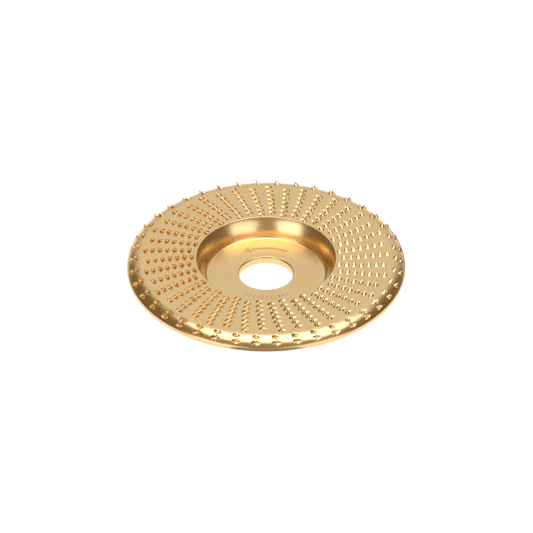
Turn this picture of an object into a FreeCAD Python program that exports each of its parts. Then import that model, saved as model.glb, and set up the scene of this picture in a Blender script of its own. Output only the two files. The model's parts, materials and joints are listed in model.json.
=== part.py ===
"""Carving disc for a 115 mm angle grinder.

One turned steel dish: a flat hub that clamps on the grinder's flange, a wall
that rises out of the recess for the clamping nut, a flat working face and a
rounded outer edge.  A pointed chisel has raised barbs out of that face, so
each barb has a tapered groove in front of it.

Frame: origin at the centre of the arbor bore on the hub's back face, +Z along
the arbor towards the barbed face.  Seen from above the disc turns
counter-clockwise, and every barb leans that way.  Lengths are in millimetres
and angles in degrees.
"""
import FreeCAD, Part
import Sketcher
import math
import os

doc = FreeCAD.newDocument("CarvingDisc")

# ---------------------------------------------------------------- dimensions
DIMENSIONS = [
    # name, value, what it is
    ("disc_diameter", 115.0, "outside diameter"),
    ("bore_diameter", 22.23, "arbor bore, the standard seven eighths of an inch"),
    ("bore_chamfer", 0.45, "chamfer on the bore's upper edge"),
    ("plate_thickness", 3.0, "thickness of hub, wall and face"),
    ("recess_depth", 8.0, "barbed face down to the recess floor"),
    ("recess_diameter", 57.7, "recess opening, at the lip"),
    ("lip_slope", 50.0, "slope of the recess wall where it meets the face"),
    ("wall_slope", 73.0, "slope of the recess wall above its foot"),
    ("wall_curve", 0.9, "share of the wall's height that is curved"),
    ("floor_corner_radius", 1.0, "rounding at the foot of the recess wall"),
    ("under_lip_radius", 2.0, "rounding under the lip, on the back"),
    ("edge_width", 6.5, "radial width of the rounded outer edge"),
    ("edge_radius", 8.1, "radius of the rounded outer edge"),
    ("rim_height", 1.5, "height of the upright band around the rim"),
    ("barb_rings", 14, "rings of barbs on the flat face"),
    ("barb_rows", 42, "rows of barbs around the disc"),
    ("face_margin", 0.8, "outermost face ring in from the start of the rounded edge"),
    ("lip_margin", 1.75, "innermost face ring out from the recess opening"),
    ("row_start", -0.57, "direction of the first row at its inner end"),
    ("row_sweep", 3.645, "turn of each row from its inner to its outer end"),
    ("edge_slope_upper", 18.5, "slope of the rounded edge under its upper ring of barbs"),
    ("edge_slope_lower", 37.5, "slope of the rounded edge under its lower ring of barbs"),
    ("edge_row_lag", 3.1, "how far edge barbs lie behind the rows they continue"),
    ("barb_share", 0.53, "share of the pitch along a row that a barb's root fills"),
    ("edge_barb_share", 0.6, "the same share for the two rings on the rounded edge"),
    ("barb_length", 1.6, "length of a barb's root, along its path"),
    ("barb_height", 1.2, "height of a barb"),
    ("barb_lean", 0.4, "how far the tip stands ahead of the root's front edge"),
    ("tip_width", 0.3, "width of a barb's tip"),
    ("tip_length", 0.2, "length of a barb's tip"),
    ("root_sink", 0.4, "how deep an edge barb starts before it is trimmed to the edge"),
    ("groove_share", 0.795, "share of the pitch along a row that a groove fills at its barb"),
    ("edge_groove_share", 0.89, "the same share for the two rings on the rounded edge"),
    ("groove_length", 2.2, "length of the tapered groove"),
    ("groove_depth", 0.65, "depth of the groove where it meets its barb"),
    ("groove_overcut", 0.08, "how far the groove's cutter stands above the surface"),
]

sheet = doc.addObject("Spreadsheet::Sheet", "Dimensions")
for row, (alias, value, meaning) in enumerate(DIMENSIONS, start=1):
    sheet.set("A%d" % row, alias)
    sheet.set("B%d" % row, str(value))
    sheet.set("C%d" % row, meaning)
    sheet.setAlias("B%d" % row, alias)
doc.recompute()


def size(alias):
    """The value of one cell, for counts and for a sketch's first shape."""
    return float(sheet.get(alias))


def cell(alias):
    """The same cell as it is named in an expression."""
    return "Dimensions.%s" % alias


# Sizes that follow from the cells, as expressions and as numbers.
OUTER_RADIUS = "%s / 2" % cell("disc_diameter")
FACE_HEIGHT = "(%s + %s)" % (cell("recess_depth"), cell("plate_thickness"))
FACE_RADIUS = "(%s / 2 - %s)" % (cell("disc_diameter"), cell("edge_width"))
# The curved part of the wall turns from the lip's slope to the slope above the foot.
WALL_RISE = "(%s - %s * (1 - cos(%s)))" % (
    cell("recess_depth"), cell("floor_corner_radius"), cell("wall_slope"))
WALL_RADIUS = "%s * %s / (cos(%s) - cos(%s))" % (
    cell("wall_curve"), WALL_RISE, cell("lip_slope"), cell("wall_slope"))
OUTER_RING_RADIUS = "(%s - %s)" % (FACE_RADIUS, cell("face_margin"))
INNER_RING_RADIUS = "(%s / 2 + %s)" % (cell("recess_diameter"), cell("lip_margin"))
RING_STEP = "((%s - %s) / (%s - 1))" % (OUTER_RING_RADIUS, INNER_RING_RADIUS, cell("barb_rings"))
# A row uses every second ring on the face, and both rings on the edge.
FACE_PITCH = "2 * %s" % RING_STEP
EDGE_PITCH = "%s * (%s - %s) * pi / 180" % (
    cell("edge_radius"), cell("edge_slope_lower"), cell("edge_slope_upper"))
# The groove's cutter is larger than the groove, because it starts above the face.
GROOVE_GROWTH = "(%s + %s) / %s" % (cell("groove_depth"), cell("groove_overcut"), cell("groove_depth"))

face_height = size("recess_depth") + size("plate_thickness")
face_radius = size("disc_diameter") / 2 - size("edge_width")
lip_slope = math.radians(size("lip_slope"))
wall_slope = math.radians(size("wall_slope"))
wall_rise = size("recess_depth") - size("floor_corner_radius") * (1 - math.cos(wall_slope))
wall_radius = size("wall_curve") * wall_rise / (math.cos(lip_slope) - math.cos(wall_slope))
outer_ring_radius = face_radius - size("face_margin")
inner_ring_radius = size("recess_diameter") / 2 + size("lip_margin")
ring_step = (outer_ring_radius - inner_ring_radius) / (size("barb_rings") - 1)
face_pitch = 2 * ring_step
edge_pitch = size("edge_radius") * math.radians(size("edge_slope_lower") - size("edge_slope_upper"))


# ------------------------------------------------------------------- helpers
def vector(x, y):
    return FreeCAD.Vector(x, y, 0)


def origin_feature(body, role):
    """One of a body's own planes or axes."""
    for feature in body.Origin.OriginFeatures:
        if feature.Role == role:
            return feature
    raise ValueError("no %s in %s" % (role, body.Name))


def new_body(label):
    body = doc.addObject("PartDesign::Body", label)
    body.Label = label
    return body


def new_sketch(body, name, role):
    """An empty sketch on one of the body's origin planes."""
    sketch = body.newObject("Sketcher::SketchObject", name)
    sketch.AttachmentSupport = [(origin_feature(body, role), "")]
    sketch.MapMode = "FlatFace"
    return sketch


def fix(sketch, kind, places, value, formula):
    """Add one dimension to a sketch and bind it to the sheet."""
    index = sketch.addConstraint(Sketcher.Constraint(kind, *places, value))
    sketch.setExpression("Constraints[%d]" % index, formula)


def fix_x(sketch, geometry, point, value, formula):
    """Hold a point's distance from the sketch's upright axis."""
    fix(sketch, "DistanceX", (-1, 1, geometry, point), value, formula)


def fix_y(sketch, geometry, point, value, formula):
    """Hold a point's distance from the sketch's level axis."""
    fix(sketch, "DistanceY", (-1, 1, geometry, point), value, formula)


# ------------------------------------------------------------- the disc blank
def add_chain(sketch, start, moves):
    """Add a closed chain of lines and arcs.

    A move is ("line", end) or ("arc", end, centre, turns_left).  An arc is
    kept counter-clockwise inside a sketch, so one that turns right is stored
    from its end to its start.
    """
    firsts = []
    lasts = []
    for index, move in enumerate(moves):
        end = move[1]
        if move[0] == "line":
            sketch.addGeometry(Part.LineSegment(vector(*start), vector(*end)), False)
            firsts.append(1)
            lasts.append(2)
        else:
            centre, turns_left = move[2], move[3]
            radius = math.dist(centre, end)
            angles = [math.atan2(p[1] - centre[1], p[0] - centre[0]) for p in (start, end)]
            if not turns_left:
                angles.reverse()
            circle = Part.Circle(vector(*centre), FreeCAD.Vector(0, 0, 1), radius)
            sketch.addGeometry(Part.ArcOfCircle(circle, angles[0], angles[1]), False)
            firsts.append(1 if turns_left else 2)
            lasts.append(2 if turns_left else 1)
        start = end
    count = len(moves)
    for index in range(count):
        following = (index + 1) % count
        kind = "Coincident"
        if moves[index][0] != moves[following][0] and index in SMOOTH_JOINS:
            kind = "Tangent"
        sketch.addConstraint(
            Sketcher.Constraint(kind, index, lasts[index], following, firsts[following]))


# The blank's section, piece by piece from the foot of the bore.
(BORE, CHAMFER, FLOOR, FOOT_ARC, WALL, WALL_ARC, FACE, EDGE_ARC, RIM, RIM_FOOT,
 UNDER_EDGE_ARC, UNDER_FACE, UNDER_LIP_ARC, UNDER_WALL, HUB_ARC, BACK) = range(16)
SMOOTH_JOINS = {FLOOR, FOOT_ARC, WALL, FACE, UNDER_EDGE_ARC, UNDER_FACE,
                UNDER_LIP_ARC, UNDER_WALL, HUB_ARC}
CENTRE = 3


def make_blank():
    """The dish before any barb is raised: one section turned about the arbor."""
    bore = size("bore_diameter") / 2
    chamfer = size("bore_chamfer")
    thick = size("plate_thickness")
    mouth = size("recess_diameter") / 2
    foot = size("floor_corner_radius")
    under_lip = size("under_lip_radius")
    edge = size("edge_radius")
    outer = size("disc_diameter") / 2
    sin_wall, cos_wall = math.sin(wall_slope), math.cos(wall_slope)

    wall_centre = (mouth + wall_radius * math.sin(lip_slope),
                   face_height - wall_radius * math.cos(lip_slope))
    straight_run = (1 - size("wall_curve")) * wall_rise / math.tan(wall_slope)
    foot_centre = (wall_centre[0] - (wall_radius + foot) * sin_wall - straight_run, thick + foot)
    # The back of the wall runs parallel to the wall's straight foot, one thickness away.
    back_mouth = (foot_centre[0] + (foot + thick) / sin_wall
                  + (face_height - 2 * thick - foot) / math.tan(wall_slope))
    under_lip_centre = (back_mouth + under_lip * math.tan(wall_slope / 2),
                        face_height - thick - under_lip)
    edge_centre = (face_radius, face_height - edge)
    edge_end = edge_centre[1] + math.sqrt(edge ** 2 - size("edge_width") ** 2)
    rim_foot = edge_end - size("rim_height")
    under_edge_end = face_radius + math.sqrt((edge - thick) ** 2 - (rim_foot - edge_centre[1]) ** 2)

    def on_wall_side(centre, radius, side):
        return (centre[0] + side * radius * sin_wall, centre[1] - side * radius * cos_wall)

    moves = [
        ("line", (bore, thick - chamfer)),
        ("line", (bore + chamfer, thick)),
        ("line", (foot_centre[0], thick)),
        ("arc", on_wall_side(foot_centre, foot, 1), foot_centre, True),
        ("line", on_wall_side(wall_centre, wall_radius, -1)),
        ("arc", (mouth, face_height), wall_centre, False),
        ("line", (face_radius, face_height)),
        ("arc", (outer, edge_end), edge_centre, False),
        ("line", (outer, rim_foot)),
        ("line", (under_edge_end, rim_foot)),
        ("arc", (face_radius, face_height - thick), edge_centre, True),
        ("line", (under_lip_centre[0], face_height - thick)),
        ("arc", on_wall_side(under_lip_centre, under_lip, -1), under_lip_centre, True),
        ("line", on_wall_side(foot_centre, foot + thick, 1)),
        ("arc", (foot_centre[0], 0), foot_centre, False),
        ("line", (bore, 0)),
    ]

    body = new_body("disc_blank")
    sketch = new_sketch(body, "BlankSection", "XZ_Plane")
    add_chain(sketch, (bore, 0), moves)

    for level in (FLOOR, FACE, RIM_FOOT, UNDER_FACE, BACK):
        sketch.addConstraint(Sketcher.Constraint("Horizontal", level))
    for upright in (BORE, RIM):
        sketch.addConstraint(Sketcher.Constraint("Vertical", upright))
    sketch.addConstraint(Sketcher.Constraint("Coincident", EDGE_ARC, CENTRE, UNDER_EDGE_ARC, CENTRE))
    sketch.addConstraint(Sketcher.Constraint("Coincident", FOOT_ARC, CENTRE, HUB_ARC, CENTRE))
    sketch.addConstraint(Sketcher.Constraint("Parallel", WALL, UNDER_WALL))
    sketch.addConstraint(Sketcher.Constraint("PointOnObject", BACK, 2, -1))

    bore_formula = "%s / 2" % cell("bore_diameter")
    fix_x(sketch, BORE, 1, bore, bore_formula)
    fix_x(sketch, CHAMFER, 2, bore + chamfer, "%s + %s" % (bore_formula, cell("bore_chamfer")))
    fix_y(sketch, CHAMFER, 1, thick - chamfer,
          "%s - %s" % (cell("plate_thickness"), cell("bore_chamfer")))
    fix_y(sketch, FLOOR, 2, thick, cell("plate_thickness"))
    fix(sketch, "Angle", (WALL,), wall_slope, cell("wall_slope"))
    fix(sketch, "Radius", (FOOT_ARC,), foot, cell("floor_corner_radius"))
    fix(sketch, "Radius", (WALL_ARC,), wall_radius, WALL_RADIUS)
    fix_x(sketch, WALL_ARC, CENTRE, wall_centre[0], "%s / 2 + %s * sin(%s)" % (
        cell("recess_diameter"), WALL_RADIUS, cell("lip_slope")))
    fix_y(sketch, WALL_ARC, CENTRE, wall_centre[1], "%s - %s * cos(%s)" % (
        FACE_HEIGHT, WALL_RADIUS, cell("lip_slope")))
    fix_y(sketch, FACE, 2, face_height, FACE_HEIGHT)
    fix_x(sketch, EDGE_ARC, CENTRE, face_radius, FACE_RADIUS)
    fix(sketch, "Radius", (EDGE_ARC,), edge, cell("edge_radius"))
    fix_x(sketch, RIM, 1, outer, OUTER_RADIUS)
    fix(sketch, "DistanceY", (RIM, 2, RIM, 1), size("rim_height"), cell("rim_height"))
    fix(sketch, "Radius", (UNDER_EDGE_ARC,), edge - thick,
        "%s - %s" % (cell("edge_radius"), cell("plate_thickness")))
    fix(sketch, "Radius", (UNDER_LIP_ARC,), under_lip, cell("under_lip_radius"))

    turned = body.newObject("PartDesign::Revolution", "TurnedBlank")
    turned.Profile = sketch
    turned.ReferenceAxis = (sketch, ["V_Axis"])
    turned.Angle = 360
    body.Tip = turned
    return body


# ---------------------------------------------------- barbs and their grooves
EDGE_SLOPES = ("edge_slope_upper", "edge_slope_lower")
FACE_RINGS = int(size("barb_rings"))
RINGS = FACE_RINGS + len(EDGE_SLOPES)
Y_AXIS = FreeCAD.Vector(0, 1, 0)
Z_AXIS = FreeCAD.Vector(0, 0, 1)


def ring_station(ring):
    """Where a ring's first barb stands: radius, height, slope and turn.

    Face rings are numbered from the recess outwards.  Neighbouring rings stand
    half a row apart, so each row uses every second ring.  The last two rings
    are on the rounded edge, and hold a barb for every row.
    """
    if ring < FACE_RINGS:
        radius = "%s + %d * %s" % (INNER_RING_RADIUS, ring, RING_STEP)
        turn = "%s + %s * %d / (%s - 1)" % (
            cell("row_start"), cell("row_sweep"), ring, cell("barb_rings"))
        if ring % 2 == 0:
            turn += " + 360 / %s" % cell("barb_rows")
        return radius, FACE_HEIGHT, "0", turn
    slope = cell(EDGE_SLOPES[ring - FACE_RINGS])
    radius = "%s + %s * sin(%s)" % (FACE_RADIUS, cell("edge_radius"), slope)
    height = "%s - %s * (1 - cos(%s))" % (FACE_HEIGHT, cell("edge_radius"), slope)
    turn = "%s + %s - %s" % (cell("row_start"), cell("row_sweep"), cell("edge_row_lag"))
    return radius, height, slope, turn


def width_at(ring, kind):
    """The width of a ring's barbs or grooves, as a number and as an expression."""
    if ring < FACE_RINGS:
        share = kind + "_share"
        return face_pitch * size(share), "%s * %s" % (FACE_PITCH, cell(share))
    share = "edge_" + kind + "_share"
    return edge_pitch * size(share), "%s * %s" % (EDGE_PITCH, cell(share))


def level_sketch(body, name, station, lift):
    """A sketch that lies on the surface: x outwards along the slope, y forwards."""
    radius, height, slope, _ = station
    sketch = new_sketch(body, name, "XY_Plane")
    sketch.AttachmentOffset = FreeCAD.Placement(FreeCAD.Vector(), FreeCAD.Rotation(Y_AXIS, 1))
    sketch.setExpression("AttachmentOffset.Rotation.Angle", slope)
    sketch.setExpression("AttachmentOffset.Base.x", "%s + %s * sin(%s)" % (radius, lift, slope))
    sketch.setExpression("AttachmentOffset.Base.z", "%s + %s * cos(%s)" % (height, lift, slope))
    return sketch


def upright_sketch(body, name, station, ahead):
    """A sketch that stands across a barb's path: x outwards, y away from the surface."""
    radius, height, slope, _ = station
    sketch = new_sketch(body, name, "XZ_Plane")
    sketch.AttachmentOffset = FreeCAD.Placement(FreeCAD.Vector(), FreeCAD.Rotation(Z_AXIS, -1))
    sketch.setExpression("AttachmentOffset.Rotation.Angle", "-(%s)" % slope)
    sketch.setExpression("AttachmentOffset.Base.x", radius)
    sketch.setExpression("AttachmentOffset.Base.y", height)
    sketch.setExpression("AttachmentOffset.Base.z", "-(%s)" % ahead)
    return sketch


def draw_half_round(sketch, width, length, front, formulas):
    """A straight front edge with a rounded back behind it."""
    width_formula, length_formula, front_formula = formulas
    radius = (width ** 2 / 4 + length ** 2) / (2 * length)
    centre = front - length + radius
    reach = math.atan2(front - centre, width / 2)
    circle = Part.Circle(vector(0, centre), Z_AXIS, radius)
    sketch.addGeometry(Part.LineSegment(vector(width / 2, front), vector(-width / 2, front)), False)
    sketch.addGeometry(Part.ArcOfCircle(circle, math.pi - reach, 2 * math.pi + reach), False)
    sketch.addConstraint(Sketcher.Constraint("Coincident", 0, 2, 1, 1))
    sketch.addConstraint(Sketcher.Constraint("Coincident", 1, 2, 0, 1))
    sketch.addConstraint(Sketcher.Constraint("Symmetric", 0, 1, 0, 2, -2))
    fix(sketch, "DistanceX", (0, 2, 0, 1), width, width_formula)
    fix_y(sketch, 0, 1, front, front_formula)
    fix(sketch, "Radius", (1,), radius, "((%s) ^ 2 / 4 + (%s) ^ 2) / (2 * (%s))" % (
        width_formula, length_formula, length_formula))


def draw_vee(sketch, width, width_formula):
    """The groove's section: a vee with its open side just above the surface."""
    depth, overcut = size("groove_depth"), size("groove_overcut")
    half_width = width / 2 * (depth + overcut) / depth
    corners = [vector(half_width, overcut), vector(-half_width, overcut), vector(0, -depth)]
    for index in range(3):
        sketch.addGeometry(Part.LineSegment(corners[index], corners[(index + 1) % 3]), False)
    for index in range(3):
        sketch.addConstraint(Sketcher.Constraint("Coincident", index, 2, (index + 1) % 3, 1))
    sketch.addConstraint(Sketcher.Constraint("Symmetric", 0, 1, 0, 2, -2))
    sketch.addConstraint(Sketcher.Constraint("PointOnObject", 2, 1, -2))
    fix(sketch, "DistanceX", (0, 2, 0, 1), 2 * half_width, "%s * %s" % (
        width_formula, GROOVE_GROWTH))
    fix_y(sketch, 0, 1, overcut, cell("groove_overcut"))
    fix_y(sketch, 2, 1, -depth, "-%s" % cell("groove_depth"))


def turn_body(body, station):
    body.Placement = FreeCAD.Placement(FreeCAD.Vector(), FreeCAD.Rotation(Z_AXIS, 1))
    body.setExpression("Placement.Rotation.Angle", station[3])


def loft_around(body, sections, ring):
    """Loft one piece between two sketches and repeat it round the arbor."""
    loft = body.newObject("PartDesign::AdditiveLoft", "OneOfMany")
    loft.Profile = sections[0]
    loft.Sections = [sections[1]]
    loft.Ruled = True
    pattern = body.newObject("PartDesign::PolarPattern", "AroundTheArbor")
    pattern.Originals = [loft]
    pattern.Axis = (origin_feature(body, "Z_Axis"), [""])
    pattern.Angle = 360
    rows_per_barb = 2 if ring < FACE_RINGS else 1
    pattern.setExpression("Occurrences", "%s / %d" % (cell("barb_rows"), rows_per_barb))
    body.Tip = pattern


def trim_to_edge(body):
    """Cut the sunk roots of edge barbs to the curve of the edge they stand on."""
    sketch = new_sketch(body, "EdgeCurve", "XZ_Plane")
    centre = vector(face_radius, face_height - size("edge_radius"))
    sketch.addGeometry(Part.Circle(centre, Z_AXIS, size("edge_radius")), False)
    fix(sketch, "Radius", (0,), size("edge_radius"), cell("edge_radius"))
    fix_x(sketch, 0, CENTRE, centre.x, FACE_RADIUS)
    fix_y(sketch, 0, CENTRE, centre.y, "%s - %s" % (FACE_HEIGHT, cell("edge_radius")))
    groove = body.newObject("PartDesign::Groove", "TrimToEdge")
    groove.Profile = sketch
    groove.ReferenceAxis = (sketch, ["V_Axis"])
    groove.Angle = 360
    body.Tip = groove


def make_barb_ring(ring, label):
    """One ring of barbs: rounded backs, flat fronts, tips that lean forwards."""
    station = ring_station(ring)
    on_edge = ring >= FACE_RINGS
    body = new_body(label)
    root = level_sketch(body, "Root", station, "-%s" % cell("root_sink") if on_edge else "0")
    width, width_formula = width_at(ring, "barb")
    draw_half_round(root, width, size("barb_length"), 0,
                    (width_formula, cell("barb_length"), "0"))
    tip = level_sketch(body, "Tip", station, cell("barb_height"))
    draw_half_round(tip, size("tip_width"), size("tip_length"), size("barb_lean"),
                    (cell("tip_width"), cell("tip_length"), cell("barb_lean")))
    loft_around(body, (root, tip), ring)
    if on_edge:
        doc.recompute()
        whole = body.Shape.Volume
        trim_to_edge(body)
        doc.recompute()
        assert body.Shape.Volume < whole, "the edge barbs were not trimmed"
    turn_body(body, station)
    return body


def make_groove_cutter(ring, label):
    """The cutters for one ring's grooves, each tapering to a point ahead of its barb."""
    station = ring_station(ring)
    body = new_body(label)
    deep_end = upright_sketch(body, "DeepEnd", station, "0")
    draw_vee(deep_end, *width_at(ring, "groove"))
    point = upright_sketch(body, "Point", station, "%s * %s" % (cell("groove_length"), GROOVE_GROWTH))
    point.addGeometry(Part.Point(vector(0, size("groove_overcut"))), False)
    point.addConstraint(Sketcher.Constraint("PointOnObject", 0, 1, -2))
    fix_y(point, 0, 1, size("groove_overcut"), cell("groove_overcut"))
    loft_around(body, (deep_end, point), ring)
    turn_body(body, station)
    return body


def ring_label(ring):
    if ring < FACE_RINGS:
        return "barb_ring_%02d" % (ring + 1)
    return "edge_barb_ring_%d" % (ring - FACE_RINGS + 1)


# ------------------------------------------------------------------- assembly
blank = make_blank()
nodes = []
cutters = []
for ring in range(RINGS):
    nodes.append(make_barb_ring(ring, ring_label(ring)))
    cutters.append(make_groove_cutter(ring, "grooves_" + ring_label(ring)))

all_cutters = doc.addObject("Part::Compound", "AllGrooveCutters")
all_cutters.Links = cutters
disc_plate = doc.addObject("Part::Cut", "disc_plate")
disc_plate.Label = "disc_plate"
disc_plate.Base = blank
disc_plate.Tool = all_cutters
nodes.insert(0, disc_plate)
doc.recompute()

# --------------------------------------------------------------------- checks
for item in doc.Objects:
    if "Invalid" in item.State or "Error" in item.State:
        raise RuntimeError("%s failed: %s" % (item.Label, item.getStatusString()))
for node in nodes:
    if node.Shape.isNull() or not node.Shape.isValid():
        raise RuntimeError("%s has no valid shape" % node.Label)
assert disc_plate.Shape.Volume < blank.Shape.Volume, "the grooves cut nothing"
assert len(disc_plate.Shape.Solids) == 1, "the plate is one solid"
for ring, node in enumerate(nodes[1:]):
    expected = size("barb_rows") / (2 if ring < FACE_RINGS else 1)
    assert len(node.Shape.Solids) == expected, "%s lost a barb" % node.Label

# --------------------------------------------------------------------- output
os.makedirs("parts", exist_ok=True)
for node in nodes:
    node.Shape.exportStep("parts/%s.step" % node.Label)
    print("%-18s %3d solids %9.2f mm3" % (node.Label, len(node.Shape.Solids), node.Shape.Volume))
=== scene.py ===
# %% [markdown]
# # A carving disc for an angle grinder
# The disc is one piece of coated steel: a dish with a flat hub, a flat working
# face and a rounded edge, with 378 barbs raised out of its own surface.  The CAD
# model holds the sizes.  This notebook gives the same disc its looks: a fine
# turned skin with a groove in front of every barb, and curled barbs that lean
# the way the disc turns.

# %% Load the frame
import bpy
import bmesh
import json
import math
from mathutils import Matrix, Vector


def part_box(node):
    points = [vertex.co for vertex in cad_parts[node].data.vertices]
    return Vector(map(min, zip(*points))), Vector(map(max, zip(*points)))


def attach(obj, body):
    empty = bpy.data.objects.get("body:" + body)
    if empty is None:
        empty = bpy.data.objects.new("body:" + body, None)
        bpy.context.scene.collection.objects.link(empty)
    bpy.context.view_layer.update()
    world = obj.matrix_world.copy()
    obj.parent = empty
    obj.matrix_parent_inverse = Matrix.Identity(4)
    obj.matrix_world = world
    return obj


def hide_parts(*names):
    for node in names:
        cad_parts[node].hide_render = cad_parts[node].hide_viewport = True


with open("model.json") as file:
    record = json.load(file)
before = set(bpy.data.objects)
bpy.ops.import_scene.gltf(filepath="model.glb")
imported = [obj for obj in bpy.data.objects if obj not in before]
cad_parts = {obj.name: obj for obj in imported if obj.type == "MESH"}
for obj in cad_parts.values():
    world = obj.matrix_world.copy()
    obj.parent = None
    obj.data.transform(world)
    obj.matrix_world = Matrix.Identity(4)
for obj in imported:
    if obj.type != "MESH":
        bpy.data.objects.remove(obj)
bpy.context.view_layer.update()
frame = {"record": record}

MM = 0.001
plate_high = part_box("disc_plate")[1]
OUTER_RADIUS = plate_high.x
TOP = plate_high.z
BORE_RADIUS = next(m for m in frame["record"]["mounts"] if m["name"] == "arbor_bore")["dims"]["r_mm"] * MM
print("disc radius", round(OUTER_RADIUS / MM, 2), "face height", round(TOP / MM, 2),
      "bore radius", round(BORE_RADIUS / MM, 3), "mm")

# %% [markdown]
# ## Helpers for node trees
# A node tree written in a script is easiest to read when adding a node and
# wiring it take one line.  `add` makes a node and fills its inputs, which may be
# plain values or other nodes' outputs.  `calc` is the same for one sum.

# %% Node helpers
def add(tree, kind, inputs=None, **settings):
    """Make a node, set its properties, and fill or wire its inputs by name or number."""
    node = tree.nodes.new(kind)
    for name, value in settings.items():
        setattr(node, name, value)
    for key, value in (inputs or {}).items():
        if isinstance(value, bpy.types.NodeSocket):
            tree.links.new(value, node.inputs[key])
        else:
            node.inputs[key].default_value = value
    return node


def calc(tree, operation, *values):
    """One Math node; returns its output."""
    return add(tree, "ShaderNodeMath", dict(enumerate(values)), operation=operation).outputs[0]


def vector_calc(tree, operation, *values):
    """One Vector Math node; returns its number for dot products and its vector otherwise."""
    node = add(tree, "ShaderNodeVectorMath", dict(enumerate(values)), operation=operation)
    return node.outputs["Value" if operation in ("DOT_PRODUCT", "LENGTH") else "Vector"]


def smooth_step(tree, value, low, high):
    """0 below low, 1 above high, and a soft ramp between them."""
    node = add(tree, "ShaderNodeMapRange", {"Value": value, "From Min": low, "From Max": high},
               interpolation_type="SMOOTHSTEP")
    return node.outputs["Result"]


def new_tree(name, inputs):
    """A geometry tree with a geometry input, the named inputs and a geometry output."""
    tree = bpy.data.node_groups.new(name, "GeometryNodeTree")
    tree.interface.new_socket("Geometry", in_out="INPUT", socket_type="NodeSocketGeometry")
    for label, kind in inputs:
        tree.interface.new_socket(label, in_out="INPUT", socket_type="NodeSocket" + kind)
    tree.interface.new_socket("Geometry", in_out="OUTPUT", socket_type="NodeSocketGeometry")
    group_in = tree.nodes.new("NodeGroupInput")
    group_out = tree.nodes.new("NodeGroupOutput")
    return tree, group_in.outputs, group_out.inputs


def run_tree(source, tree, values, name):
    """Run a tree on an object and keep the result as a plain mesh object."""
    modifier = source.modifiers.new(tree.name, "NODES")
    modifier.node_group = tree
    for item in tree.interface.items_tree:
        if item.in_out == "INPUT" and item.name in values:
            modifier[item.identifier] = values[item.name]
    source.update_tag()
    bpy.context.view_layer.update()
    evaluated = source.evaluated_get(bpy.context.evaluated_depsgraph_get())
    mesh = bpy.data.meshes.new_from_object(evaluated)
    source.modifiers.remove(modifier)
    mesh.name = name
    made = bpy.data.objects.new(name, mesh)
    bpy.context.scene.collection.objects.link(made)
    return made


def new_mesh_object(name, vertices, edges=(), faces=()):
    mesh = bpy.data.meshes.new(name)
    mesh.from_pydata([tuple(v) for v in vertices], edges, faces)
    made = bpy.data.objects.new(name, mesh)
    bpy.context.scene.collection.objects.link(made)
    return made


print("helpers ready")

# %% [markdown]
# ## Camera, floor and light
# The disc lies flat and is seen from a little over a third of a right angle above
# the floor, through a long lens, so its circles are nearly true ellipses.
# Polished metal shows the room more than itself.  So the lights are large soft
# boxes: one overhead for the white stripe along the front edge, and two low ones
# in front for the bright spots on the recess wall, with dark sides between them.

# %% Camera
VIEW_ELEVATION = math.radians(36.4)
VIEW_DISTANCE = 1.65
VIEW_WIDTH = 0.2204
SENSOR = 36.0
AIM = Vector((0.0002, 0.0, TOP - 4.6 * MM))

camera_data = bpy.data.cameras.new("camera")
camera_data.sensor_width = SENSOR
camera_data.lens = SENSOR * VIEW_DISTANCE / VIEW_WIDTH
camera_data.clip_start = 0.05
camera = bpy.data.objects.new("camera", camera_data)
back = Vector((0.0, -math.cos(VIEW_ELEVATION), math.sin(VIEW_ELEVATION)))
camera.location = AIM + back * VIEW_DISTANCE
camera.rotation_euler = (math.pi / 2 - VIEW_ELEVATION, 0.0, 0.0)
bpy.context.scene.collection.objects.link(camera)
bpy.context.scene.camera = camera
print("lens", round(camera_data.lens), "mm")

# %% Floor
FLOOR_SIZE = 8.0
FLOOR_GLOW = 1.0
half = FLOOR_SIZE / 2
floor = new_mesh_object("floor", [(-half, -half, 0), (half, -half, 0), (half, half, 0), (-half, half, 0)],
                        faces=[(0, 1, 2, 3)])
paper = bpy.data.materials.new("white_paper")
paper.use_nodes = True
paper_shader = paper.node_tree.nodes["Principled BSDF"]
paper_shader.inputs["Base Color"].default_value = (0.08, 0.08, 0.08, 1.0)
paper_shader.inputs["Roughness"].default_value = 0.9
paper_shader.inputs["Specular IOR Level"].default_value = 0.1
paper_shader.inputs["Emission Color"].default_value = (1.0, 1.0, 1.0, 1.0)
paper_shader.inputs["Emission Strength"].default_value = FLOOR_GLOW
floor.data.materials.append(paper)
print("floor", FLOOR_SIZE, "m square")


# %% Soft boxes
def soft_box(name, centre, width, height, radiance):
    """A rectangular light that faces the disc, as bright as `radiance` when seen."""
    light = bpy.data.lights.new(name, "AREA")
    light.shape = "RECTANGLE"
    light.size = width
    light.size_y = height
    light.energy = radiance * math.pi * width * height
    lamp = bpy.data.objects.new(name, light)
    lamp.location = centre
    lamp.rotation_mode = "QUATERNION"
    lamp.rotation_quaternion = (-Vector(centre)).to_track_quat("-Z", "Y")
    lamp.visible_camera = False
    bpy.context.scene.collection.objects.link(lamp)
    return lamp


def toward(azimuth, elevation, distance=2.0):
    """A point seen from the disc at that bearing, counted from +X, in degrees."""
    a, e = math.radians(azimuth), math.radians(elevation)
    return Vector((math.cos(a) * math.cos(e), math.sin(a) * math.cos(e), math.sin(e))) * distance


soft_box("overhead_box", Vector((0.075, 0.0, 1.0)), 0.79, 1.2, 2.5)
soft_box("front_left_box", toward(-130, 19), 1.35, 1.15, 1.9)
soft_box("front_right_box", toward(-52, 19), 1.55, 1.15, 1.3)
print("three soft boxes")


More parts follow.
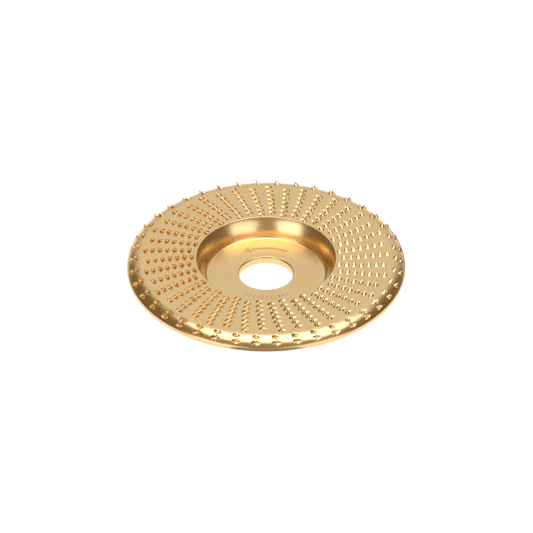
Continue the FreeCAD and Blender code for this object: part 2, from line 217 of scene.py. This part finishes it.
# %% Dark cards
def dark_card(name, azimuth, near, far, width):
    """A card laid on the floor beside the disc that only the metal reflects."""
    side = Vector((-math.sin(azimuth), math.cos(azimuth), 0.0)) * width / 2
    out = Vector((math.cos(azimuth), math.sin(azimuth), 0.0))
    up = Vector((0.0, 0.0, 0.2 * MM))
    card = new_mesh_object(name, [out * near - side + up, out * near + side + up,
                                  out * far + side * 1.6 + up, out * far - side * 1.6 + up],
                           faces=[(0, 1, 2, 3)])
    card.visible_camera = card.visible_shadow = card.visible_diffuse = False
    black = bpy.data.materials.new(name)
    black.use_nodes = True
    shader = black.node_tree.nodes["Principled BSDF"]
    shader.inputs["Base Color"].default_value = (0.3, 0.3, 0.3, 1.0)
    shader.inputs["Roughness"].default_value = 1.0
    card.data.materials.append(black)


dark_card("front_card", math.radians(-90), 60 * MM, 200 * MM, 36 * MM)
dark_card("right_card", math.radians(12), 60 * MM, 200 * MM, 70 * MM)
print("two dark cards")

# %% World
world = bpy.data.worlds.new("studio")
world.use_nodes = True
bpy.context.scene.world = world
sky = world.node_tree
background = sky.nodes["Background"]
direction = add(sky, "ShaderNodeTexCoord").outputs["Generated"]
split = add(sky, "ShaderNodeSeparateXYZ", {0: direction}).outputs
# The studio's back wall is lit, most of all high up, its front wall is dim, and
# its side walls are dark and warm.
DARK_WALL_GLOW = 0.18
DARK_WALL_COLOR = (1.0, 0.70, 0.38, 1.0)
aside = calc(sky, "ABSOLUTE", calc(sky, "SUBTRACT", calc(
    sky, "DIVIDE", split["X"], calc(sky, "MAXIMUM", split["Y"], 0.02)), 0.12))
behind = calc(sky, "MULTIPLY", smooth_step(sky, aside, 1.0, 0.3), smooth_step(sky, split["Y"], 0.1, 0.4))
high = smooth_step(sky, split["Z"], -0.1, 0.6)
back_wall = calc(sky, "MULTIPLY", behind, calc(sky, "MULTIPLY_ADD", high, 0.25, 0.33))
front_wall = calc(sky, "MULTIPLY", smooth_step(sky, split["Y"], -0.35, -0.8), 0.12)
wall_glow = calc(sky, "ADD", calc(sky, "ADD", back_wall, front_wall), DARK_WALL_GLOW)
seen = add(sky, "ShaderNodeLightPath").outputs["Is Camera Ray"]
glow = calc(sky, "MAXIMUM", wall_glow, seen)
warmth = smooth_step(sky, glow, 0.42, DARK_WALL_GLOW)
wall_color = add(sky, "ShaderNodeMix", {"Factor": warmth}, data_type="RGBA")
wall_color.inputs[6].default_value = (1.0, 1.0, 1.0, 1.0)
wall_color.inputs[7].default_value = DARK_WALL_COLOR
sky.links.new(wall_color.outputs[2], background.inputs["Color"])
sky.links.new(glow, background.inputs["Strength"])
bpy.context.scene.view_settings.view_transform = "Standard"
print("world ready")

# %% [markdown]
# ## Finishes
# The coating is a thin gold-coloured nitride over blasted steel: metal, satin,
# with a fine grain and slight changes of tone.  The recess floor still shows the
# lathe's rings.  Each is a procedure on object coordinates, so it stays put
# however the piece is seen.

# %% Gold
GOLD = (0.91, 0.655, 0.335, 1.0)
GOLD_DEEP = (0.88, 0.585, 0.25, 1.0)
MARK_TONE = (0.55, 0.37, 0.17, 1.0)


def band(tree, value, low, high, softness):
    """1 between two limits and 0 outside them, with soft ends."""
    rise = smooth_step(tree, value, low - softness, low + softness)
    fall = smooth_step(tree, value, high - softness, high + softness)
    return calc(tree, "SUBTRACT", rise, fall)


ARROW_RADIUS = 17.5 * MM
ARROW_HALF_WIDTH = 0.7 * MM
ARROW_TAIL, ARROW_NECK, ARROW_TIP = (math.radians(a) for a in (60, 112, 123))
ARROW_HEAD_FLARE = 11.5 * MM
DASHES_PER_TURN = 60
DASH_SHARE = 0.39
DASHES_START, DASHES_END = (math.radians(a) for a in (-122, -58))
DASH_INNER, DASH_OUTER = 15.9 * MM, 17.7 * MM
MARK_SOFTNESS = 0.05 * MM
MARK_TURN_SOFTNESS = 0.004
MARK_STRENGTH = 0.7


def etched_marks(tree, place, radius, on_floor):
    """A turning arrow beyond the bore and a row of dashes before it, neither a letter nor a sign."""
    turn = calc(tree, "ARCTAN2", place["Y"], place["X"])
    off_arc = calc(tree, "ABSOLUTE", calc(tree, "SUBTRACT", radius, ARROW_RADIUS))
    shaft = calc(tree, "MULTIPLY", band(tree, turn, ARROW_TAIL, ARROW_NECK, MARK_TURN_SOFTNESS),
                 smooth_step(tree, off_arc, ARROW_HALF_WIDTH + MARK_SOFTNESS,
                             ARROW_HALF_WIDTH - MARK_SOFTNESS))
    left_in_head = calc(tree, "SUBTRACT", ARROW_TIP, turn)
    head_edge = calc(tree, "SUBTRACT", calc(tree, "MULTIPLY", left_in_head, ARROW_HEAD_FLARE), off_arc)
    head = calc(tree, "MULTIPLY", smooth_step(tree, head_edge, -MARK_SOFTNESS, MARK_SOFTNESS),
                smooth_step(tree, turn, ARROW_NECK - math.radians(0.5), ARROW_NECK))
    dash = calc(tree, "FRACT", calc(tree, "MULTIPLY", turn, DASHES_PER_TURN / (2 * math.pi)))
    scale = calc(tree, "MULTIPLY", band(tree, turn, DASHES_START, DASHES_END, MARK_TURN_SOFTNESS),
                 band(tree, radius, DASH_INNER, DASH_OUTER, MARK_SOFTNESS))
    scale = calc(tree, "MULTIPLY", scale, smooth_step(tree, dash, DASH_SHARE + 0.03, DASH_SHARE - 0.03))
    marks = calc(tree, "MAXIMUM", calc(tree, "MAXIMUM", shaft, head), scale)
    return calc(tree, "MULTIPLY", calc(tree, "MULTIPLY", marks, on_floor), MARK_STRENGTH)


def gold_material(name, roughness, grain_depth, on_plate):
    """Satin gold coating with a blasted grain; the plate also has lathe rings and etched marks."""
    material = bpy.data.materials.new(name)
    material.use_nodes = True
    tree = material.node_tree
    shader = tree.nodes["Principled BSDF"]
    shader.inputs["Metallic"].default_value = 1.0
    point = add(tree, "ShaderNodeTexCoord").outputs["Object"]
    blotches = add(tree, "ShaderNodeTexNoise", {
        "Vector": point, "Scale": 160.0, "Detail": 4.0}).outputs["Fac"]
    share = calc(tree, "MULTIPLY", smooth_step(tree, blotches, 0.35, 0.7), 0.45)
    tone = add(tree, "ShaderNodeMix", {"Factor": share}, data_type="RGBA")
    tone.inputs[6].default_value = GOLD
    tone.inputs[7].default_value = GOLD_DEEP
    dull = calc(tree, "MULTIPLY_ADD", blotches, 0.05, roughness - 0.025)
    grain = add(tree, "ShaderNodeTexNoise", {"Vector": point, "Scale": 5200.0, "Detail": 2.0}).outputs["Fac"]
    height = grain
    if on_plate:
        place = add(tree, "ShaderNodeSeparateXYZ", {0: point}).outputs
        radius = calc(tree, "SQRT", calc(tree, "MULTIPLY_ADD", place["X"], place["X"],
                                         calc(tree, "MULTIPLY", place["Y"], place["Y"])))
        # Only the recess floor: above the hub's back and below the wall.
        on_floor = calc(tree, "MULTIPLY", smooth_step(tree, place["Z"], TOP * 0.6, TOP * 0.35),
                        smooth_step(tree, place["Z"], TOP * 0.14, TOP * 0.2))
        rings = calc(tree, "SINE", calc(tree, "MULTIPLY", radius, 2 * math.pi / (0.42 * MM)))
        height = calc(tree, "MULTIPLY_ADD", calc(tree, "MULTIPLY", rings, on_floor), 0.5, grain)
        marks = etched_marks(tree, place, radius, on_floor)
        marked = add(tree, "ShaderNodeMix", {"Factor": marks}, data_type="RGBA")
        tree.links.new(tone.outputs[2], marked.inputs[6])
        marked.inputs[7].default_value = MARK_TONE
        tone = marked
        dull = calc(tree, "MULTIPLY_ADD", marks, 0.15, dull)
    tree.links.new(tone.outputs[2], shader.inputs["Base Color"])
    tree.links.new(dull, shader.inputs["Roughness"])
    bump = add(tree, "ShaderNodeBump", {"Height": height, "Distance": grain_depth, "Strength": 0.35})
    tree.links.new(bump.outputs["Normal"], shader.inputs["Normal"])
    return material


plate_gold = gold_material("satin_gold_plate", 0.25, 0.02 * MM, on_plate=True)
barb_gold = gold_material("raised_gold_barbs", 0.24, 0.01 * MM, on_plate=False)
print("finishes:", plate_gold.name, barb_gold.name)

# %% [markdown]
# ## Where the barbs stand
# Seen from above the barbs lie on 42 gently swept rows.  Neighbouring rings on
# the flat face are half a row apart, and the two rings on the rounded edge carry
# a barb for every row.  One list of stations serves the barbs and the grooves, so
# the two can't drift apart.

# %% Stations
ROWS = 42
FACE_RINGS = 14
EDGE_WIDTH = 6.5 * MM
FACE_RADIUS = OUTER_RADIUS - EDGE_WIDTH
EDGE_RADIUS = 8.1 * MM
MOUTH_RADIUS = 28.85 * MM
LIP_MARGIN = 1.75 * MM
FACE_MARGIN = 0.8 * MM
INNER_RING_RADIUS = MOUTH_RADIUS + LIP_MARGIN
OUTER_RING_RADIUS = FACE_RADIUS - FACE_MARGIN
ROW_START = math.radians(-0.57)
ROW_SWEEP = math.radians(3.645)
EDGE_SLOPES = (math.radians(18.5), math.radians(37.5))
EDGE_ROW_LAG = math.radians(3.1)
ROW_ANGLE = 2 * math.pi / ROWS


def ring_stations(ring):
    """(point, turn, slope) for each barb of one ring."""
    if ring < FACE_RINGS:
        share = ring / (FACE_RINGS - 1)
        radius = INNER_RING_RADIUS + (OUTER_RING_RADIUS - INNER_RING_RADIUS) * share
        slope, height, step = 0.0, TOP, 2
        start = ROW_START + ROW_SWEEP * share + (ROW_ANGLE if ring % 2 == 0 else 0.0)
    else:
        slope = EDGE_SLOPES[ring - FACE_RINGS]
        radius = FACE_RADIUS + EDGE_RADIUS * math.sin(slope)
        height, step = TOP - EDGE_RADIUS * (1 - math.cos(slope)), 1
        start = ROW_START + ROW_SWEEP - EDGE_ROW_LAG
    for index in range(0, ROWS, step):
        turn = start + index * ROW_ANGLE
        yield Vector((radius * math.cos(turn), radius * math.sin(turn), height)), turn, slope


station_list = [(ring, *spot) for ring in range(FACE_RINGS + len(EDGE_SLOPES))
                for spot in ring_stations(ring)]
stations = new_mesh_object("stations", [spot[1] for spot in station_list])
for label, column, kind in (("ring", 0, "INT"), ("turn", 2, "FLOAT"), ("slope", 3, "FLOAT")):
    layer = stations.data.attributes.new(label, kind, "POINT")
    layer.data.foreach_set("value", [spot[column] for spot in station_list])
print(len(station_list), "stations")

# %% [markdown]
# ## The disc's section
# A lathe makes the dish, so its shape is one section turned about the arbor.  The
# section is drawn once as straight runs and arcs, with tight rounding on every
# edge, because no real edge is perfectly sharp.

# %% Section
PLATE = 3.0 * MM
RECESS_DEPTH = TOP - PLATE
LIP_SLOPE = math.radians(50.0)
WALL_SLOPE = math.radians(73.0)
WALL_CURVE = 0.9
FOOT_RADIUS = 1.0 * MM
UNDER_LIP_RADIUS = 2.0 * MM
BORE_CHAMFER = 0.45 * MM
RIM_HEIGHT = 1.5 * MM
FINE_STEP = 0.26 * MM
COARSE_STEP = 0.45 * MM
EDGE_SOFTENING = 0.12 * MM


def straight(start, end, step):
    """Points from start up to, but not including, end."""
    count = max(1, round(math.dist(start, end) / step))
    return [tuple(a + (b - a) * i / count for a, b in zip(start, end)) for i in range(count)]


def arc(centre, radius, first, last, step):
    """Points along an arc between two directions, both ends included."""
    count = max(3, round(abs(last - first) * radius / step))
    angles = [first + (last - first) * i / count for i in range(count + 1)]
    return [(centre[0] + radius * math.cos(a), centre[1] + radius * math.sin(a)) for a in angles]


def soft_corner(before, corner, after, reach=EDGE_SOFTENING):
    """A sharp corner as three points: the edge is broken by a narrow rounding."""
    corner, before, after = Vector(corner), Vector(before), Vector(after)
    first = corner + (before - corner).normalized() * reach
    last = corner + (after - corner).normalized() * reach
    middle = (first + last) / 2 * 0.5 + corner * 0.5
    return [tuple(first), tuple(middle), tuple(last)]


def disc_section():
    """The closed outline as (radius, height) points, from the foot of the bore upwards."""
    quarter = math.pi / 2
    # The wall curves from the lip's slope to the steeper slope at its foot.
    wall_radius = WALL_CURVE * (RECESS_DEPTH - FOOT_RADIUS * (1 - math.cos(WALL_SLOPE))) / (
        math.cos(LIP_SLOPE) - math.cos(WALL_SLOPE))
    wall = (MOUTH_RADIUS + wall_radius * math.sin(LIP_SLOPE), TOP - wall_radius * math.cos(LIP_SLOPE))
    curve_end = (wall[0] - wall_radius * math.sin(WALL_SLOPE), wall[1] + wall_radius * math.cos(WALL_SLOPE))
    foot_end = PLATE + FOOT_RADIUS * (1 - math.cos(WALL_SLOPE))
    straight_run = (curve_end[1] - foot_end) / math.tan(WALL_SLOPE)
    foot = (curve_end[0] - straight_run - FOOT_RADIUS * math.sin(WALL_SLOPE), PLATE + FOOT_RADIUS)
    # The back of the wall runs parallel to its foot, one thickness away.
    back_at_face = (foot[0] + (FOOT_RADIUS + PLATE) / math.sin(WALL_SLOPE)
                    + (TOP - PLATE - foot[1]) / math.tan(WALL_SLOPE))
    under_lip = (back_at_face + UNDER_LIP_RADIUS * math.tan(WALL_SLOPE / 2), TOP - PLATE - UNDER_LIP_RADIUS)
    edge = (FACE_RADIUS, TOP - EDGE_RADIUS)
    edge_turn = math.acos((OUTER_RADIUS - FACE_RADIUS) / EDGE_RADIUS)
    edge_end = (OUTER_RADIUS, edge[1] + EDGE_RADIUS * math.sin(edge_turn))
    rim_foot = (OUTER_RADIUS, edge_end[1] - RIM_HEIGHT)
    under_edge = EDGE_RADIUS - PLATE
    under_turn = math.asin((rim_foot[1] - edge[1]) / under_edge)
    under_end = (FACE_RADIUS + under_edge * math.cos(under_turn), rim_foot[1])
    wall_turn = WALL_SLOPE - quarter

    bore_foot, bore_top = (BORE_RADIUS, 0.0), (BORE_RADIUS, PLATE - BORE_CHAMFER)
    chamfer_end = (BORE_RADIUS + BORE_CHAMFER, PLATE)
    points = soft_corner((foot[0], 0.0), bore_foot, bore_top)
    points += soft_corner(bore_foot, bore_top, chamfer_end)
    points += soft_corner(bore_top, chamfer_end, (foot[0], PLATE))
    points += straight((chamfer_end[0] + 0.6 * MM, PLATE), (foot[0], PLATE), 2.0 * MM)
    points += arc(foot, FOOT_RADIUS, -quarter, wall_turn, COARSE_STEP / 2)
    points += straight(points[-1], curve_end, 1.2 * MM)[1:]
    points += arc(wall, wall_radius, quarter + WALL_SLOPE, quarter + LIP_SLOPE, COARSE_STEP)[:-1]
    lip = (MOUTH_RADIUS, TOP)
    points += soft_corner(points[-1], lip, (FACE_RADIUS, TOP))
    points += straight(points[-1], (FACE_RADIUS, TOP), FINE_STEP)[1:]
    points += arc(edge, EDGE_RADIUS, quarter, edge_turn, FINE_STEP * 1.1)[:-1]
    points += soft_corner(points[-1], edge_end, rim_foot)
    points += soft_corner(edge_end, rim_foot, under_end)
    points += soft_corner(rim_foot, under_end, (under_end[0] - MM, under_end[1] + MM))
    points += arc(edge, under_edge, under_turn, quarter, COARSE_STEP * 2)[1:]
    points += straight((FACE_RADIUS, TOP - PLATE), under_lip_top(under_lip), 4.0 * MM)[1:]
    points += arc(under_lip, UNDER_LIP_RADIUS, quarter, wall_turn + math.pi, COARSE_STEP)
    points += straight(points[-1], hub_side(foot, wall_turn), 1.5 * MM)[1:]
    points += arc(foot, FOOT_RADIUS + PLATE, wall_turn, -quarter, COARSE_STEP * 1.5)
    points += straight((foot[0], 0.0), (BORE_RADIUS + 0.5 * MM, 0.0), 3.0 * MM)[1:]
    return points


def under_lip_top(centre):
    return (centre[0], centre[1] + UNDER_LIP_RADIUS)


def hub_side(centre, turn):
    reach = FOOT_RADIUS + PLATE
    return (centre[0] + reach * math.cos(turn), centre[1] + reach * math.sin(turn))


section_points = disc_section()
section = new_mesh_object("section", [(r, 0.0, z) for r, z in section_points])
print(len(section_points), "points in the section")

# %% [markdown]
# ## Turning the section into the grooved plate
# Spinning the section gives the blank.  The grooves could be cut with 378
# booleans, but a boolean leaves ragged faces and hard edges.  Here the skin is a
# fine grid whose columns follow the barb rows, and each point is pushed down
# where it lies inside a groove: a taper that is deepest at its barb and runs out
# to nothing.

# %% Plate tree
plate_tree, plate_in, plate_out = new_tree("grooved_plate", [
    ("Stations", "Object"), ("Section Points", "Int"), ("Columns", "Int"), ("Rows", "Int"),
    ("Crowding", "Float"), ("Crowding Turn", "Float"), ("Sweep Rate", "Float"), ("Sweep Radius", "Float"),
    ("Edge Radius", "Float"), ("Edge Lag", "Float"),
    ("Groove Width", "Float"), ("Groove Length", "Float"), ("Groove Depth", "Float"),
    ("Material", "Material")])


# How far ahead of its root the middle of a barb and its groove lies.
MIDDLE_AHEAD = 0.5 * MM
# The rows' lag on the rounded edge comes in over this stretch about its start.
LAG_BEFORE, LAG_AFTER = 1.0 * MM, 1.5 * MM
WELD_DISTANCE = 0.004 * MM
# A groove only moves points this near the surface that its barb stands on.
SKIN_REACH = 1.2 * MM


def build_plate_tree(tree, given, result):
    # A flat grid stands for the unrolled skin: u goes round the disc, v along the section.
    columns = calc(tree, "ADD", given["Columns"], 1.0)
    rows = calc(tree, "ADD", given["Section Points"], 1.0)
    grid = add(tree, "GeometryNodeMeshGrid", {"Size X": 1.0, "Size Y": 1.0, "Vertices X": columns,
                                              "Vertices Y": rows}).outputs["Mesh"]
    flat = add(tree, "ShaderNodeSeparateXYZ", {
        0: add(tree, "GeometryNodeInputPosition").outputs[0]}).outputs
    u = calc(tree, "ADD", flat["X"], 0.5)
    along = calc(tree, "MULTIPLY", calc(tree, "ADD", flat["Y"], 0.5), given["Section Points"])
    row = calc(tree, "ROUND", along)
    row = calc(tree, "MODULO", row, given["Section Points"])
    outline = add(tree, "GeometryNodeSampleIndex", {
        "Geometry": given["Geometry"], "Value": add(tree, "GeometryNodeInputPosition").outputs[0],
        "Index": row}, data_type="FLOAT_VECTOR").outputs["Value"]
    outline = add(tree, "ShaderNodeSeparateXYZ", {0: outline}).outputs
    radius, height = outline["X"], outline["Z"]

    # Columns follow the swept rows and crowd together where the barbs are.
    angle = calc(tree, "MULTIPLY", u, 2 * math.pi)
    wave = calc(tree, "SINE", calc(tree, "MULTIPLY_ADD", angle, given["Rows"], given["Crowding Turn"]))
    angle = calc(tree, "SUBTRACT", angle, calc(tree, "MULTIPLY", wave, calc(
        tree, "DIVIDE", given["Crowding"], given["Rows"])))
    outwards = calc(tree, "SUBTRACT", radius, given["Sweep Radius"])
    sweep = calc(tree, "MULTIPLY", outwards, given["Sweep Rate"])
    on_edge = smooth_step(tree, radius, calc(tree, "SUBTRACT", given["Edge Radius"], LAG_BEFORE),
                          calc(tree, "ADD", given["Edge Radius"], LAG_AFTER))
    lag = calc(tree, "MULTIPLY", on_edge, given["Edge Lag"])
    angle = calc(tree, "SUBTRACT", calc(tree, "ADD", angle, sweep), lag)
    place = add(tree, "ShaderNodeCombineXYZ", {
        0: calc(tree, "MULTIPLY", radius, calc(tree, "COSINE", angle)),
        1: calc(tree, "MULTIPLY", radius, calc(tree, "SINE", angle)), 2: height}).outputs[0]
    blank = add(tree, "GeometryNodeSetPosition", {"Geometry": grid, "Position": place}).outputs[0]
    blank = add(tree, "GeometryNodeMergeByDistance", {
        "Geometry": blank, "Distance": WELD_DISTANCE}).outputs[0]

    # Each point looks up its own barb, found from the middle of barb and groove.
    helper = add(tree, "GeometryNodeObjectInfo", {"Object": given["Stations"]}).outputs["Geometry"]

    def named(label):
        return add(tree, "GeometryNodeInputNamedAttribute", {"Name": label},
                   data_type="FLOAT").outputs["Attribute"]

    def across(turn):
        """The forward direction at a turn about the arbor."""
        return add(tree, "ShaderNodeCombineXYZ", {
            0: calc(tree, "MULTIPLY", calc(tree, "SINE", turn), -1.0),
            1: calc(tree, "COSINE", turn)}).outputs[0]

    to_middle = add(tree, "ShaderNodeVectorMath", {0: across(named("turn")), "Scale": MIDDLE_AHEAD},
                    operation="SCALE").outputs[0]
    middles = add(tree, "GeometryNodeSetPosition", {"Geometry": helper, "Offset": to_middle}).outputs[0]
    nearest = add(tree, "GeometryNodeSampleNearest", {"Geometry": middles}).outputs["Index"]

    def of_station(value, kind):
        return add(tree, "GeometryNodeSampleIndex", {"Geometry": helper, "Value": value, "Index": nearest},
                   data_type=kind).outputs["Value"]

    root = of_station(add(tree, "GeometryNodeInputPosition").outputs[0], "FLOAT_VECTOR")
    turn = of_station(named("turn"), "FLOAT")
    slope = of_station(named("slope"), "FLOAT")
    sin_turn, cos_turn = calc(tree, "SINE", turn), calc(tree, "COSINE", turn)
    sin_slope, cos_slope = calc(tree, "SINE", slope), calc(tree, "COSINE", slope)
    outward = add(tree, "ShaderNodeCombineXYZ", {
        0: calc(tree, "MULTIPLY", cos_turn, cos_slope), 1: calc(tree, "MULTIPLY", sin_turn, cos_slope),
        2: calc(tree, "MULTIPLY", sin_slope, -1.0)}).outputs[0]
    up = add(tree, "ShaderNodeCombineXYZ", {
        0: calc(tree, "MULTIPLY", cos_turn, sin_slope), 1: calc(tree, "MULTIPLY", sin_turn, sin_slope),
        2: cos_slope}).outputs[0]
    gap = vector_calc(tree, "SUBTRACT", add(tree, "GeometryNodeInputPosition").outputs[0], root)
    side = calc(tree, "ABSOLUTE", vector_calc(tree, "DOT_PRODUCT", gap, outward))
    ahead = vector_calc(tree, "DOT_PRODUCT", gap, across(turn))
    off_face = calc(tree, "ABSOLUTE", vector_calc(tree, "DOT_PRODUCT", gap, up))
    on_face = calc(tree, "LESS_THAN", off_face, SKIN_REACH)

    # The groove: one at its deep end's middle line, nothing at its edges and its point.
    share_ahead = calc(tree, "DIVIDE", ahead, given["Groove Length"])
    share_side = calc(tree, "DIVIDE", side, calc(tree, "MULTIPLY", given["Groove Width"], 0.5))
    inside = calc(tree, "SUBTRACT", calc(tree, "SUBTRACT", 1.0, share_ahead), share_side)
    groove = calc(tree, "SMOOTH_MAX", inside, 0.0, 0.05)
    behind = smooth_step(tree, ahead, -0.35 * MM, 0.05 * MM)
    groove = calc(tree, "MULTIPLY", calc(tree, "MULTIPLY", groove, behind), given["Groove Depth"])
    lift = calc(tree, "MULTIPLY", calc(tree, "MULTIPLY", groove, -1.0), on_face)
    shift = add(tree, "ShaderNodeVectorMath", {0: up, "Scale": lift}, operation="SCALE").outputs[0]
    skin = add(tree, "GeometryNodeSetPosition", {"Geometry": blank, "Offset": shift}).outputs[0]
    skin = add(tree, "GeometryNodeSetShadeSmooth", {"Geometry": skin}).outputs[0]
    skin = add(tree, "GeometryNodeRealizeInstances", {"Geometry": skin}).outputs[0]
    skin = add(tree, "GeometryNodeSetMaterial", {
        "Geometry": skin, "Material": given["Material"]}).outputs[0]
    tree.links.new(skin, result["Geometry"])


build_plate_tree(plate_tree, plate_in, plate_out)
print(len(plate_tree.nodes), "nodes in the plate tree")

# %% Make the plate
COLUMNS_PER_ROW = 16
GROOVE_WIDTH = 2.4 * MM
GROOVE_LENGTH = 2.2 * MM
GROOVE_DEPTH = 0.65 * MM
SWEEP_RATE = ROW_SWEEP / (OUTER_RING_RADIUS - INNER_RING_RADIUS)
# The columns crowd about a point a little ahead of each barb's root.
MIDDLE_RADIUS = 40.0 * MM
CROWDING_TURN = -(ROW_START + MIDDLE_AHEAD / MIDDLE_RADIUS) * ROWS


def close_outwards(piece):
    """Point every face outwards, and print the faces, open edges and volume."""
    work = bmesh.new()
    work.from_mesh(piece.data)
    bmesh.ops.recalc_face_normals(work, faces=work.faces)
    if work.calc_volume(signed=True) < 0:
        bmesh.ops.reverse_faces(work, faces=work.faces)
    open_edges = sum(1 for edge in work.edges if len(edge.link_faces) != 2)
    volume = work.calc_volume()
    work.to_mesh(piece.data)
    work.free()
    print(piece.name, len(piece.data.polygons), "faces,", open_edges, "open edges,",
          round(volume / MM ** 3), "mm3")


disc_skin = run_tree(section, plate_tree, {
    "Stations": stations, "Section Points": len(section_points), "Columns": ROWS * COLUMNS_PER_ROW,
    "Rows": ROWS, "Crowding": 0.5, "Crowding Turn": CROWDING_TURN,
    "Sweep Rate": SWEEP_RATE, "Sweep Radius": INNER_RING_RADIUS,
    "Edge Radius": FACE_RADIUS, "Edge Lag": EDGE_ROW_LAG,
    "Groove Width": GROOVE_WIDTH, "Groove Length": GROOVE_LENGTH, "Groove Depth": GROOVE_DEPTH,
    "Material": plate_gold}, "disc_skin")
close_outwards(disc_skin)
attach(disc_skin, "root")
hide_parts("disc_plate")

# %% [markdown]
# ## One barb
# A barb is a chip of steel that the chisel has pushed up and curled forwards: a
# squarish back with steep sides, a hollow front and a thin crescent for a tip.  It is
# lofted here from a few crescent sections, because it is repeated hundreds of
# times and has to stay light.

# %% Model one barb
BARB_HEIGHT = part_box("barb_ring_01")[1].z - TOP - 0.03 * MM
BARB_SECTIONS = [
    # height share, half width, back depth, front hollow, lean, in shares and mm
    (-0.10, 1.00, 1.75, 0.00, 0.00),
    (0.00, 0.94, 1.62, 0.02, 0.00),
    (0.25, 0.76, 1.24, 0.06, 0.03),
    (0.50, 0.57, 0.88, 0.10, 0.08),
    (0.75, 0.36, 0.54, 0.10, 0.18),
    (0.90, 0.20, 0.32, 0.06, 0.30),
    (1.00, 0.08, 0.14, 0.02, 0.38),
]
BACK_POINTS = 9
BACK_SQUARENESS = 0.45
FRONT_POINTS = 4


def barb_section(level, half_width, back, hollow, lean):
    """One crescent: the back from side to side, then the hollow front."""
    ring = []
    for i in range(BACK_POINTS):
        a = math.pi * (1 + i / (BACK_POINTS - 1))
        across, behind = (math.copysign(abs(f) ** BACK_SQUARENESS, f) for f in (math.cos(a), math.sin(a)))
        ring.append((half_width * across, lean + back * behind))
    for i in range(1, FRONT_POINTS + 1):
        x = 1 - 2 * i / (FRONT_POINTS + 1)
        ring.append((half_width * x, lean - hollow * (1 - x * x)))
    return [(x * MM, y * MM, level * BARB_HEIGHT) for x, y in ring]


def model_barb():
    rings = [barb_section(*values) for values in BARB_SECTIONS]
    count = len(rings[0])
    vertices = [point for ring in rings for point in ring]
    faces = []
    for level in range(len(rings) - 1):
        for i in range(count):
            following = (i + 1) % count
            low, high = level * count, (level + 1) * count
            faces.append((low + i, low + following, high + following, high + i))
    faces.append(tuple(reversed(range(count))))
    faces.append(tuple(range((len(rings) - 1) * count, len(rings) * count)))
    return new_mesh_object("one_barb", vertices, faces=faces)


one_barb = model_barb()
close_outwards(one_barb)

# %% [markdown]
# ## Rings of barbs
# The barbs repeat at their stations, so a geometry tree places them: it keeps the
# stations of one ring, stands a barb on each, and varies size and stance a little,
# because no two blows of the chisel are quite the same.

# %% Ring tree
ring_tree, ring_in, ring_out = new_tree("barb_ring", [
    ("Ring", "Int"), ("Barb", "Object"), ("Size Change", "Float"), ("Stance Change", "Float"),
    ("Seed", "Int"), ("Material", "Material")])


def build_ring_tree(tree, given, result):
    def stored(label, kind):
        return add(tree, "GeometryNodeInputNamedAttribute", {"Name": label},
                   data_type=kind).outputs["Attribute"]

    wanted = add(tree, "FunctionNodeCompare", data_type="INT", operation="EQUAL")
    tree.links.new(stored("ring", "INT"), wanted.inputs[2])
    tree.links.new(given["Ring"], wanted.inputs[3])
    kept = add(tree, "GeometryNodeSeparateGeometry", {
        "Geometry": given["Geometry"], "Selection": wanted.outputs[0]}).outputs["Selection"]
    turn, slope = stored("turn", "FLOAT"), stored("slope", "FLOAT")

    def change(amount, seed_shift):
        """A small random number either side of nought for each barb."""
        low = calc(tree, "MULTIPLY", amount, -1.0)
        node = add(tree, "FunctionNodeRandomValue", {
            "Seed": calc(tree, "ADD", given["Seed"], seed_shift)}, data_type="FLOAT")
        tree.links.new(low, node.inputs[2])
        tree.links.new(amount, node.inputs[3])
        return node.outputs[1]

    stance = given["Stance Change"]
    angles = add(tree, "ShaderNodeCombineXYZ", {
        0: change(stance, 1), 1: calc(tree, "ADD", slope, change(stance, 2)),
        2: calc(tree, "ADD", turn, change(stance, 3))}).outputs[0]
    rotation = add(tree, "FunctionNodeEulerToRotation", {0: angles}).outputs[0]
    scale = add(tree, "ShaderNodeCombineXYZ", {
        0: calc(tree, "ADD", 1.0, change(given["Size Change"], 4)),
        1: calc(tree, "ADD", 1.0, change(given["Size Change"], 5)),
        2: calc(tree, "SUBTRACT", 1.0, calc(tree, "ABSOLUTE", change(given["Size Change"], 6)))}).outputs[0]
    barb = add(tree, "GeometryNodeObjectInfo", {"Object": given["Barb"]}).outputs["Geometry"]
    stood = add(tree, "GeometryNodeInstanceOnPoints", {
        "Points": kept, "Instance": barb, "Rotation": rotation, "Scale": scale}).outputs["Instances"]
    real = add(tree, "GeometryNodeRealizeInstances", {"Geometry": stood}).outputs[0]
    real = add(tree, "GeometryNodeSetShadeSmooth", {"Geometry": real}).outputs[0]
    real = add(tree, "GeometryNodeSetMaterial", {
        "Geometry": real, "Material": given["Material"]}).outputs[0]
    tree.links.new(real, result["Geometry"])


build_ring_tree(ring_tree, ring_in, ring_out)
print(len(ring_tree.nodes), "nodes in the ring tree")

# %% Stand the barbs
ring_nodes = ["barb_ring_%02d" % (i + 1) for i in range(FACE_RINGS)]
ring_nodes += ["edge_barb_ring_%d" % (i + 1) for i in range(len(EDGE_SLOPES))]
for ring, node in enumerate(ring_nodes):
    barbs = run_tree(stations, ring_tree, {
        "Ring": ring, "Barb": one_barb, "Size Change": 0.07, "Stance Change": math.radians(4.0),
        "Seed": 10 * ring, "Material": barb_gold}, "barbs_of_" + node)
    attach(barbs, "root")
    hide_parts(node)
print(len(ring_nodes), "rings of", len(one_barb.data.polygons), "faces a barb")

# %% Put the helpers away
for helper in (stations, section, one_barb):
    bpy.data.objects.remove(helper)
